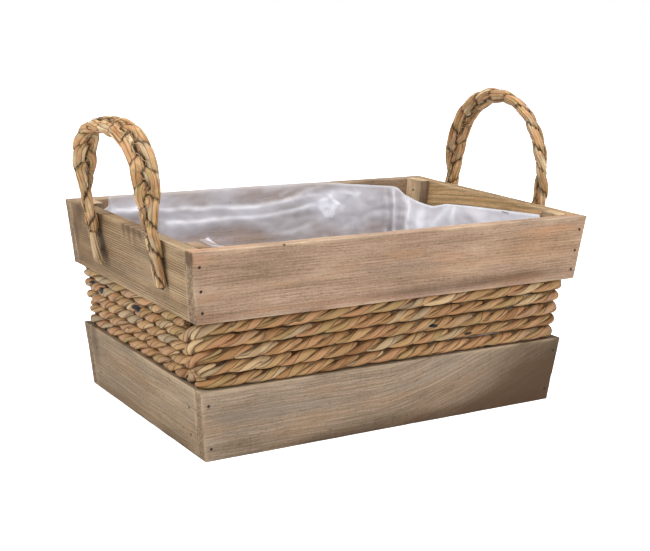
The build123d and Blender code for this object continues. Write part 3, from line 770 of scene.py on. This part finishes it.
def rope_controls():
    """Control points of the rope. It goes round level and drops to the next round just past the near corner."""
    bend = 26.0

    def corner(z, x_sign, y_sign):
        return np.array([x_sign * (half_length(z) - ROPE_INSET), y_sign * (half_width(z) - ROPE_INSET), z])

    controls = [corner(ROPE_LEVELS[0], -1, -1) + (0, y, 0) for y in (22.0, 34.0)]
    for number, z in enumerate(ROPE_LEVELS):
        stops = [corner(z, *signs) for signs in ((-1, -1), (-1, 1), (1, 1), (1, -1), (-1, -1))]
        for start, end in zip(stops, stops[1:]):
            way = unit(end - start)
            long = np.linalg.norm(end - start) - 2 * bend
            outward = np.array([way[1], -way[0], 0]) * -1
            for share in np.linspace(0, 1, round(long / 50) + 1):
                if number == 0 and start is stops[0] and share == 0:
                    continue
                point = start + way * (bend + share * long)
                here = point[None, :2]
                calm = math.sin(math.pi * min(1, max(0, share))) ** 0.5
                sway = 1.1 * ripple(here, 150, 4)[0] + 0.45 * ripple(here, 90, 30 + number)[0]
                sink = 0.5 * ripple(here, 110, 60 + number)[0] - 0.3
                if number in SQUEEZED_ROUNDS:
                    sink -= 2.3 * smooth((point[0] - 10) / 100)
                controls.append(point + calm * np.array([0, 0, sway]) + calm * sink * outward)
            controls.append(end)
        if number + 1 < len(ROPE_LEVELS):
            controls.append(corner(ROPE_LEVELS[number + 1], -1, -1) + (0, 23.0, 0))
        else:
            controls.append(corner(z, -1, -1) + (0, 9.0, 0))
    return controls


def make_rope():
    centre, run = spline(rope_controls(), 2.0)
    tangent = unit(np.gradient(centre, axis=0))
    up = unit(np.array([0, 0, 1.0]) - tangent * tangent[:, 2:])
    across = np.cross(tangent, up)
    turn = run / ROPE_LAY * math.tau + 2.4 * ripple(run[:, None], 420, 8, 1) + 0.4 * ripple(run[:, None], 90, 9)
    swell = 1 + 0.06 * ripple(run[:, None], 60, 9)
    round_number = np.clip(np.round((ROPE_LEVELS[0] - centre[:, 2]) / ROPE_PITCH), 0, len(ROPE_LEVELS) - 1)
    squeezed = np.isin(round_number, SQUEEZED_ROUNDS) * (centre[:, 1] < -100) * smooth((centre[:, 0] - 10) / 90)
    swell -= 0.14 * np.convolve(np.pad(squeezed, 10, "edge"), np.ones(21) / 21, "valid")
    bundle = Bundle()

    def spoilt(points):
        near = [np.exp(-(((points - place) / reach) ** 2).sum(1)) for place, reach in ROPE_SPOTS]
        return np.clip(1.3 * np.sum(near, 0) + 0.25 * ripple(points, 5, 31), 0, 1) * (np.sum(near, 0) > 0.2)

    away, wide, deep = 2.55 * swell, 3.8 * swell, 2.85 * swell
    blank = np.zeros(len(run))
    strands = [(blank, away, wide, deep), (blank, -away, wide, deep)]
    for number in range(2):
        phase = number * math.pi
        out = up * np.cos(turn + phase)[:, None] - across * np.sin(turn + phase)[:, None]
        side = np.cross(tangent, out)
        visible = np.floor((turn + phase) / math.tau + 0.25)
        # Painted shade where the two strands meet.
        ply(bundle, centre + out * away[:, None], side, wide, deep, 3 + number, groove=0.07, twist=70.0,
            spoilt=spoilt, deep=strand_crevice_shade(centre, side, out, strands, 0), lengths=3.37 * visible + 11.3 * number)
    # A dark core behind the two strands: painted shade seen through the gaps between them.
    behind = centre + across * np.sign((across * centre).sum(1, keepdims=True)) * -1.2
    ply(bundle, behind, up, np.full(len(run), 5.75), 3.4 * swell, 9, around=12, twist=45.0, groove=0.06,
        deep=lambda points, path, around: np.repeat(0.6 + 0.3 * ripple(run[:, None], 14, 3), around))
    tuft(bundle, centre[0], (-0.3, -1, 0.1), 10, 5, 0.35, 5, pale=0.6)
    tuft(bundle, centre[-1] + (-3.0, -4.0, 6.0), (-0.7, -0.2, 0.6), 16, 8, 0.35, 6, width=0.9, pale=0.9)
    rng = np.random.default_rng(12)
    for number in range(46):
        place = rng.integers(20, len(centre) - 20)
        out = unit(np.cross(tangent[place], (0, 0, 1)) + (0, 0, rng.normal() * 0.8))
        if centre[place] @ out < 0:
            out = -out
        tuft(bundle, centre[place] + 4.6 * out, tangent[place] * rng.choice((-1, 1)) + 0.35 * out, 1,
             rng.uniform(6, 16), 0.25, 100 + number, width=0.4)
    obj = bundle.make("rope_winding", ROPE, ["rope_wrap"])
    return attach(obj, ROOT)


HANDLES = {
    "left": dict(sign=-1, centre=-10.5, span=65.0, rise=83.5, straight=28.0, power=2.75, lean=3.5, flare=3.2,
                 crown=22.0, twist=(64, 88), frayed=True),
    "right": dict(sign=1, centre=10.5, span=68.5, rise=96.5, straight=25.0, power=2.0, lean=0.5, flare=1.2,
                  crown=20.5, twist=(60, 62), frayed=False)}
HINGE_Z = 180.0
# height and thickness of a leg on its way up; the knee is where it leaves the board
KNEE_THICK = 9.1
LEG_STATIONS = ((136.0, 7.6), (148.0, 8.2), (162.0, 8.8), (174.0, KNEE_THICK), (188.0, 9.2))
FLARE_FOOT, FLARE_RISE = 148.0, 56.0
LEG_WIDTH, LEG_THICK = 17.0, 9.2
PLAIT_PERIOD = 66.0
GOLDEN_TURN = math.pi * (3 - math.sqrt(5))


def handle_controls(sign, centre, span, rise, straight, power, lean, flare, **_):
    """Control points of a handle: up the front leg, over the arch, down the back leg."""

    def flared(z):
        """How far the plait leans away from the board at a height."""
        return flare * float(smooth((z - FLARE_FOOT) / FLARE_RISE))

    def stand(z, thick):
        """How far the plait's middle stands out from the middle of the basket."""
        return sign * (half_length(z) + SEAT_GAP + thick / 2 + flared(z))

    base = sign * (half_length(HINGE_Z) + SEAT_GAP + KNEE_THICK / 2)
    up = np.array([sign * math.sin(math.radians(lean)), 0, math.cos(math.radians(lean))])
    legs = [[(stand(z, thick), centre + end * span, z) for z, thick in LEG_STATIONS] for end in (-1, 1)]
    arch = []
    for turn in np.linspace(0, math.pi, 15):
        a = math.copysign(abs(math.cos(turn)) ** (2 / power), math.cos(turn))
        b = max(math.sin(turn), 0) ** (2 / power)
        high = straight - 4 + (rise - straight) * b
        arch.append(np.array([base + sign * flared(HINGE_Z + high), centre - span * a, HINGE_Z]) + up * high)
    return legs[0] + arch + legs[1][::-1]


def fray(bundle, root, down, side, out, seed):
    """A leg end that has come undone: a brush of leaves that opens below its root, in front of the board."""
    rng = np.random.default_rng(seed)
    t = np.linspace(0, 1, 9)[:, None]
    down = unit(down - np.array([0, 0.2, 0]))
    root = root - np.array([0, 2.6, 0])
    leaves = 58
    for number in range(leaves):
        reach, turn = math.sqrt((number + 0.5) / leaves), number * GOLDEN_TURN
        long = rng.uniform(22, 29)
        spread = reach * math.cos(turn) * (5.0 + 5.2 * t ** 1.2) + rng.normal() * 1.0 * t ** 2
        lift = 2.2 + reach * math.sin(turn) * (2.0 + 0.8 * t) + 0.6 * np.sin(math.pi * t) - 0.4 * t
        taper = rng.uniform(0.8, 1.25) * (1 - 0.3 * t[:, 0] ** 3)
        ply(bundle, root + down * long * t + side * spread + out * (lift + rng.normal() * 0.4 * t),
            np.tile(side, (9, 1)), taper, 0.5 * taper, seed + number, around=8, groove=0.0,
            # About three leaves in ten are darkened: painted shade between the leaves of the brush.
            pale=0.15 + 0.6 * rng.uniform(), loose=1.0, deep=even_shade_and_brown(0.5 * (rng.uniform() < 0.3)))


def strays(bundle, centre, broad, thin, width, thick, seed):
    """Fine leaf fibres, pale and brown, that cross both broad faces of a plait in all directions."""
    rng = np.random.default_rng(seed)
    index = np.arange(len(centre))
    for number in range(230):
        place = rng.integers(12, len(centre) - 12)
        face, slant, long = rng.choice((-1, 1)), rng.uniform(-1.1, 1.1), rng.uniform(4, 12)
        t = np.linspace(-0.5, 0.5, 7)
        at = np.clip(place + t * long * math.cos(slant) / 1.5, 0, len(centre) - 1)
        here, side, over = (np.array([np.interp(at, index, part[:, n]) for n in range(3)]).T
                            for part in (centre, broad, thin))
        half, high = (np.interp(at, index, part) / 2 for part in (width, thick))
        across = np.clip(rng.normal() * 0.4 * half + t * long * math.sin(slant) + 0.8 * np.sin(5 * t + number),
                         -0.9 * half, 0.9 * half)
        lift = high * np.sqrt(1 - (across / half) ** 2) * 0.86 + 0.5 + 0.9 * rng.uniform() * np.abs(2 * t) ** 2
        path = here + side * across[:, None] + over * (face * lift)[:, None]
        brown = rng.uniform() < 0.55
        ply(bundle, path, side, np.full(7, rng.uniform(0.2, 0.34)), np.full(7, 0.18), seed + number, around=5,
            groove=0.0, pale=0.0 if brown else rng.uniform(0.2, 0.8), loose=1.0, deep=even_shade_and_brown(0.55 * brown))


def make_handle(name, shape, seed):
    sign, lean = shape["sign"], math.radians(shape["lean"])
    centre, run = spline(handle_controls(**shape), 1.5)
    tangent = unit(np.gradient(centre, axis=0))
    out = np.array([sign * math.cos(lean), 0, -math.sin(lean)])
    radial = unit(np.cross(tangent, out)) * -sign
    above = np.where(centre[:, 2] > HINGE_Z)[0]
    rise = np.minimum(run - run[above[0]], run[above[-1]] - run)
    share = smooth(rise / 45.0)
    drop = smooth(-rise / 40.0)
    turn = -share * np.radians(np.interp(centre[:, 1], (-60, 60), shape["twist"]))
    broad = radial * np.cos(turn)[:, None] + out * np.sin(turn)[:, None]
    thin = np.cross(tangent, broad)
    width = LEG_WIDTH + (shape["crown"] - LEG_WIDTH) * share - 4.5 * drop
    thick = LEG_THICK + 1.3 * share - 1.6 * drop
    phase = run / PLAIT_PERIOD * math.tau + 0.35 * ripple(run[:, None], 90, seed)
    strands = []
    for number in range(3):
        angle = phase + number * math.tau / 3
        half = 0.31 * width * (1 + 0.06 * ripple(run[:, None], 40, seed + number))
        flat = 0.41 * thick
        swing = (width / 2 - 0.94 * half) * np.tanh(2.2 * np.sin(angle)) / math.tanh(2.2)
        strands.append((swing, (thick / 2 - flat) * np.sin(2 * angle), half, flat))
    bundle = Bundle()
    trim = 12 if shape["frayed"] else 1
    keep = slice(1, len(run) - trim)
    if shape["frayed"]:
        thinned = 0.45 + 0.55 * smooth((run[-1 - trim] - run) / 13)
        strands = [(swing, sink, half * thinned, flat * thinned) for swing, sink, half, flat in strands]
    cut = [tuple(part[keep] for part in strand) for strand in strands]
    for number, (swing, sink, half, flat) in enumerate(strands):
        path = centre + broad * swing[:, None] + thin * sink[:, None]
        roll = 0.3 * np.gradient(swing, run) * np.sign(sink)
        side = broad * np.cos(roll)[:, None] + thin * np.sin(roll)[:, None]
        # Painted shade where the strands meet, and cut=0.8 paints shade on their cut ends.
        deep = strand_crevice_shade(centre[keep], broad[keep], thin[keep], cut, number, 1.28)
        ply(bundle, path[keep], side[keep], half[keep], flat[keep], seed + 11 * number, lobes=7, groove=0.17,
            twist=90.0, around=35, deep=deep, cut=0.8)
    for place, way in ((0, 1), (-1, -1)):
        down, side = -way * tangent[place], broad[place]
        if way < 0 and shape["frayed"]:
            fray(bundle, centre[place] - 24 * down, down, side, out, seed)
            continue
        for lane in np.linspace(-0.4, 0.4, 7):
            root = centre[place] - 9 * down + lane * 13 * side - 1.5 * out
            tuft(bundle, root, down + 0.1 * lane * side, 3, 10, 0.05, seed + 40 + int(9 * lane),
                 width=0.9, pale=0.3)
    strays(bundle, centre, broad, thin, width, thick, seed)
    nodes = [f"handle_{name}", f"handle_{name}_front_leg", f"handle_{name}_back_leg"]
    obj = bundle.make(f"plaited_handle_{name}", PLAIT, nodes)
    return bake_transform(obj)


# Liner

FILM_GAP = 1.2
FILM_FOOT = SLAT_THICK + 1.6
CREASES = (
    # points (x, z) along the back wall, reach above and below, how far it stands inward, how white it is (milky
    # film with a painted highlight)
    (((-112, 160), (-82, 159), (-38, 157), (-9, 158), (13, 159), (33, 161), (51, 164), (67, 163)),
     2.8, 8, 1.5, 0.16),
    (((-112, 148), (-76, 146.7), (-48, 146), (-9, 147), (41, 150.5), (64, 154)), 4.2, 7, 1.6, 0.32),
    (((-170, 166), (-140, 162), (-116, 166)), 2.2, 7, 1.2, 0.2),
    (((-100, 129), (-40, 126), (20, 128), (60, 135)), 2.6, 9, 0.9, 0.08))
RIDGES = (
    # points (x, z) along the back wall, reach, how far it stands inward, how white it is (milky film with a
    # painted highlight)
    (((33, 161), (51, 168), (77, 176)), 3.4, 1.2, 0.3),
    (((20, 166), (34, 171), (42, 178)), 2.2, 0.8, 0.15),
    (((-112, 161), (-111, 143)), 2.2, 1.0, 0.2),
    (((79, 161), (77, 150), (80, 141)), 1.8, 1.2, 0.3),
    (((62, 155), (69, 147)), 2.2, 0.8, 0.15),
    (((108, 172), (112, 150), (106, 124)), 4.0, 0.8, 0.1),
    (((146, 168), (149, 140), (146, 120)), 2.6, 1.4, 0.3),
    (((157, 167), (158, 147), (156, 118)), 1.8, 2.4, 0.5),
    (((166, 166), (169, 124)), 2.0, 2.6, 0.7))
PATCHES = (
    # corners (x, z) on the back wall of a facet of crumpled film, how far it stands inward, how white it is
    # (milky film with painted light, brighter on some facets than on others)
    (((62, 158), (77, 161), (76, 150), (67, 148)), 0.9, 0.5),
    (((79, 161), (91, 154), (82, 143), (78, 150)), 1.5, 0.85),
    (((67, 148), (76, 149), (80, 141), (72, 140)), 0.5, 0.28),
    (((95, 166), (118, 167), (112, 158)), 0.6, 0.25),
    (((-110, 159), (-92, 158), (-98, 149), (-108, 149)), 0.7, 0.2))
HAZES = (
    # middle (x, z) on the back wall, reach along and up, and how much milkier the film is there
    ((18, 166), (40, 7), -0.2), ((-70, 169), (60, 5), -0.04), ((-60, 153), (70, 5), 0.14),
    ((-30, 129), (80, 12), -0.34), ((125, 158), (50, 18), 0.34), ((118, 136), (34, 8), 0.05),
    ((77, 153), (14, 10), 0.5), ((-150, 165), (30, 12), 0.1))


def falloff(along, line):
    """1 between the two ends of a line, fading out over the first and last few millimetres."""
    low, high = line[0][0], line[-1][0]
    return smooth((along - low + 4) / 14) * smooth((high + 4 - along) / 14)


def ridge(x, z, line, reach):
    """1 along a line of points, fading to 0 a little beyond its reach."""
    nearest = np.full(len(x), 1e9)
    for (x0, z0), (x1, z1) in zip(line, line[1:]):
        dx, dz = x1 - x0, z1 - z0
        share = np.clip(((x - x0) * dx + (z - z0) * dz) / (dx * dx + dz * dz), 0, 1)
        nearest = np.minimum(nearest, np.hypot(x - x0 - share * dx, z - z0 - share * dz))
    return np.exp(-(nearest / reach) ** 2)


def patch(x, z, corners):
    """1 inside a facet whose corners go round clockwise, fading to 0 at its sides."""
    inside = np.full(len(x), 1e9)
    for (x0, z0), (x1, z1) in zip(corners, corners[1:] + corners[:1]):
        dx, dz = x1 - x0, z1 - z0
        inside = np.minimum(inside, ((x - x0) * -dz + (z - z0) * dx) / -math.hypot(dx, dz))
    return smooth(inside / 2.4 + 0.3)


def liner_ring(z):
    """Corners of the film's outline at a height: on the walls, and slack over each corner batten."""
    x, y = half_length(z) - BOARD - FILM_GAP, half_width(z) - BOARD - FILM_GAP
    x_in, y_in = x - BATTEN_THICK - 0.4, y - BATTEN_WIDE - 0.4
    quarter = [(x, y_in - 9.0), (x_in + 2.0, y_in), (x_in, y_in + 3.0), (x_in - 14.0, y)]
    ring = quarter + [(-a, b) for a, b in quarter[::-1]]
    ring += [(-a, -b) for a, b in quarter] + [(a, -b) for a, b in quarter[::-1]]
    return np.array(ring + ring[:1])


def liner_top(x, y):
    """Height of the film's edge round the basket: it droops past the far right batten."""
    back = np.interp(x, (-180, -150, -40, 42, 75, 99, 132, 160, 176),
                     (180.5, 178.4, 178.8, 178.6, 177.4, 174.6, 171.4, 168.6, 161))
    right = np.interp(y, (-118, -87, -40, 19, 60, 84, 98, 112),
                      (172, 170.2, 166.3, 161.5, 157.5, 151, 156, 163))
    front = 172.6 + 0.9 * np.sin(x / 31.0)
    left = 172.0 + 1.2 * np.sin(y / 23.0)
    return np.where(y > 112, back, np.where(y < -112, front, np.where(x > 0, right, left)))


def film_relief(here, share):
    """How far the film stands inward at each point, and how white it is there: milky where creased, with painted
    highlights.
    """
    x, y, z = here.T
    crumple = ripple(here, (46, 46, 26), 71) + 0.5 * ripple(here, (15, 15, 12), 72)
    facets = np.abs(ripple(here, (19, 19, 15), 76, 2))
    edge = 0.3 + 0.7 * smooth((1.0 - share) / 0.10)
    loose = smooth(share / 0.15) * edge

    round_way = np.arctan2(y, x)
    sag = (0.5 + 0.5 * np.sin(z / 7.0 + 5.0 * ripple(np.column_stack([150 * round_way]), 110, 73))) ** 3
    back = smooth((y - 98) / 8) * smooth((176 - np.abs(x)) / 12)
    folds, white, haze = np.zeros(len(x)), np.zeros(len(x)), np.full(len(x), 0.48)
    bent = z + 1.5 * ripple(here, 34, 78) + 0.5 * ripple(here, 12, 81)
    for line, over, under, out, milk_and_highlight in CREASES:
        drop = bent - np.interp(x, *np.array(line).T)
        fold = np.where(drop > 0, np.exp(-(drop / over) ** 2), np.exp(-np.abs(drop / under) ** 1.5))
        fold = fold * falloff(x, line)
        folds, white = np.maximum(folds, out * fold), np.maximum(white, milk_and_highlight * fold ** 2)
        haze += back * 0.5 * milk_and_highlight * fold
    for line, reach, out, milk_and_highlight in RIDGES:
        fold = ridge(x, bent, line, reach)
        folds, white = np.maximum(folds, out * fold), np.maximum(white, milk_and_highlight * fold)
    for corners, out, milk_and_highlight in PATCHES:
        facet = patch(x, bent, corners)
        folds, white = np.maximum(folds, out * facet), np.maximum(white, milk_and_highlight * facet)
    gathered = smooth((x - 140) / 16) * smooth((y - 35) / 15) * smooth((z - 100) / 30)
    fan = (x - y) / 2.6 * (1 + 0.12 * np.sin(z / 31)) + 4.4 * ripple(here, (34, 34, 60), 77)
    pleats = (0.5 + 0.5 * np.sin(fan)) ** 2 * (0.2 + 0.8 * smooth(0.5 + ripple(here, (20, 20, 50), 79)))

    push = 0.5 + 0.7 * np.abs(crumple) + (1 - back) * 1.2 * sag + back * folds + 1.3 * gathered * pleats
    push += 0.7 * facets * smooth((x - 50) / 30)
    # The whites are milky film and painted highlights together: on creases, ridges and facets, on the sag folds
    # of the other walls, on the pleats in the far right corner, and along the top edge, most on the right.
    white *= np.clip(0.72 + 0.9 * ripple(here, (26, 26, 10), 80), 0.15, 1.3)
    white = back * white + (1 - back) * 0.25 * sag + 0.5 * gathered * pleats ** 2 + 0.1 * facets
    white = np.maximum(white, (0.35 + 0.35 * smooth((x - 60) / 40)) * smooth((share - 0.978) / 0.02))
    streaks = ripple(np.column_stack([x - 0.7 * z, 5.0 * z + 0.3 * x]), 60, 84)
    haze += back * (0.14 * streaks + 0.1 * ripple(here, (24, 24, 12), 85))
    for (middle, high), (long, tall), more in HAZES:
        haze += back * more * np.exp(-((x - middle) / long) ** 2 - ((z - high) / tall) ** 2)
    haze += (1 - back) * 0.25 * smooth((x - 100) / 20)
    return loose * push, np.clip(white, 0, 1), haze


def make_liner():
    columns, rows, floor_rows = 540, 84, 14
    low, high = liner_ring(FILM_FOOT), liner_ring(HEIGHT)
    marks = distances(high)
    even = np.arange(columns) / columns * marks[-1]
    base, edge = (np.stack([np.interp(even, marks, ring[:, n]) for n in (0, 1)], 1) for ring in (low, high))
    top = liner_top(*edge.T)
    for _ in range(3):
        base, edge, top = ((np.roll(line, 1, 0) + 2 * line + np.roll(line, -1, 0)) / 4
                           for line in (base, edge, top))
    along = sum(np.roll(edge, -step, 0) - np.roll(edge, step, 0) for step in (1, 2, 3))
    inward = unit(np.column_stack([-along[:, 1], along[:, 0]]))
    # The whites become the fold value: milky film with painted highlights.
    points, crease_milk_and_highlights, hazes = [], [], []
    for row in range(rows):
        share = (row / (rows - 1)) ** 0.72
        z = FILM_FOOT + (top - FILM_FOOT) * share
        flat = base + (edge - base) * ((z - FILM_FOOT) / (HEIGHT - FILM_FOOT))[:, None]
        push, white, haze = film_relief(np.column_stack([flat, z]), np.full(columns, share))
        points.append(np.column_stack([flat + inward * push[:, None], z]))
        crease_milk_and_highlights.append(white)
        hazes.append(haze)
    for row in range(1, floor_rows):
        shrink = (row / floor_rows) ** 0.9
        flat = base * (1 - shrink)
        lift = 0.9 + 0.9 * ripple(flat, 40, 74)
        points.insert(0, np.column_stack([flat, FILM_FOOT - 0.8 + smooth(shrink * 6) * lift]))
        crease_milk_and_highlights.insert(0, 0.2 + 0.2 * ripple(flat, 26, 75))
        hazes.insert(0, np.full(columns, 0.42))
    bundle = Bundle()
    bundle.add(np.concatenate(points), strips(len(points), columns) + [list(range(columns))[::-1]],
               fold=np.concatenate(crease_milk_and_highlights), haze=np.concatenate(hazes))
    flap_columns, flap_rows = 9, 22
    across, rise = (part.ravel() for part in np.meshgrid(
        np.linspace(-1, 1, flap_columns), np.linspace(0, 1, flap_rows)))
    flap = np.column_stack([-166.5 - 17.5 * rise + across * (0.5 + 3.4 * rise),
                            -119.9 + 1.4 * np.sin(2.6 * across + 5 * rise) * rise - 1.2 * rise,
                            176.3 + 7.4 * rise ** 2 + 0.5 * across])
    milky = np.full(len(flap), 0.45)
    bundle.add(flap, strips(flap_rows, flap_columns, closed=False), fold=milky, haze=milky)
    obj = bundle.make("liner_film", FILM, ["liner"])
    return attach(obj, ROOT)


def dress_fasteners():
    for name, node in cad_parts.items():
        if "brads" in name or "tacks" in name or "staples" in name:
            node.data.materials.clear()
            kind = WASHED_STEEL if "base_brads" in name else STAPLE_STEEL if "staples" in name else STEEL
            node.data.materials.append(kind)


# Camera, floor and light

CAMERA_ANGLES = (-32.224, 12.877, 1.702)
SCENE_MIDDLE = (0, 0, 0.1)
CAMERA_BACK, CAMERA_RIGHT, CAMERA_UP = 1.20196, 0.001732, 0.011537
SENSOR_WIDTH, FOCAL_SHARE = 36.0, 1295.5 / 650


def make_camera():
    """The photograph's viewpoint, from a camera fitted to the corners of the boards."""
    yaw, pitch, roll = (math.radians(angle) for angle in CAMERA_ANGLES)
    back = Vector((math.sin(yaw) * math.cos(pitch), -math.cos(yaw) * math.cos(pitch), math.sin(pitch)))
    level = Vector((math.cos(yaw), math.sin(yaw), 0))
    upright = back.cross(level)
    right = math.cos(roll) * level + math.sin(roll) * upright
    up = math.cos(roll) * upright - math.sin(roll) * level
    place = Vector(SCENE_MIDDLE) + back * CAMERA_BACK + level * CAMERA_RIGHT + upright * CAMERA_UP
    camera = add_object("camera", bpy.data.cameras.new("camera"))
    camera.matrix_world = Matrix.Translation(place) @ Matrix((right, up, back)).transposed().to_4x4()
    camera.data.sensor_width, camera.data.lens = SENSOR_WIDTH, SENSOR_WIDTH * FOCAL_SHARE
    bpy.context.scene.camera = camera


def make_light(name, place, size, power):
    """A square, white lamp that points at the middle of the basket."""
    lamp = bpy.data.lights.new(name, "AREA")
    lamp.shape, lamp.size, lamp.size_y = "RECTANGLE", size, size
    lamp.energy = power
    obj = add_object(name, lamp)
    obj.location = place
    obj.rotation_euler = (Vector(SCENE_MIDDLE) - Vector(place)).to_track_quat("-Z", "Y").to_euler()


def make_studio():
    """A pale floor under a white, evenly lit room."""
    world = bpy.data.worlds.new("studio")
    bpy.context.scene.world = world
    world.use_nodes = True
    node = nodes_of(world.node_tree)
    light = node("Background", (linear("fbfbff"), 0.62))
    seen = node("Background", ((1, 1, 1, 1),))
    seen_straight = node("LightPath", out="Is Camera Ray")
    node("OutputWorld", (node("MixShader", (seen_straight, light, seen)),))

    mesh = bpy.data.meshes.new("floor")
    mesh.from_pydata([(-6, -6, 0), (6, -6, 0), (6, 6, 0), (-6, 6, 0)], [], [[0, 1, 2, 3]])
    floor = add_object("floor", mesh)
    paper, node = new_material("Floor, pale paper")
    glow = node("Math", (node("LightPath", out="Is Camera Ray"), 0.8), **TIMES)
    surface = node("BsdfPrincipled", {
        "Base Color": linear("f7f7f7"), "Roughness": 0.9, "Specular IOR Level": 0.1,
        "Emission Color": linear("ffffff"), "Emission Strength": glow})
    node("OutputMaterial", {"Surface": surface})
    mesh.materials.append(paper)
    floor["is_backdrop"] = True
    make_light("left", (-2.0, 0.3, 1.5), 1.0, 24)
    make_light("front", (1.3, -2.2, 1.7), 1.1, 27)
    make_light("top", (0.1, -0.2, 2.4), 1.1, 46)


bpy.context.scene.view_settings.view_transform = "Standard"
make_camera()
make_studio()
make_boards()
make_battens_and_slats()
make_rope()
for number, (side, shape) in enumerate(HANDLES.items()):
    make_handle(side, shape, 50 + 7 * number)
make_liner()
dress_fasteners()

boxes = {"cad": cad_box, "visual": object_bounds()}
{name: [list(corner) for corner in box] for name, box in boxes.items()}
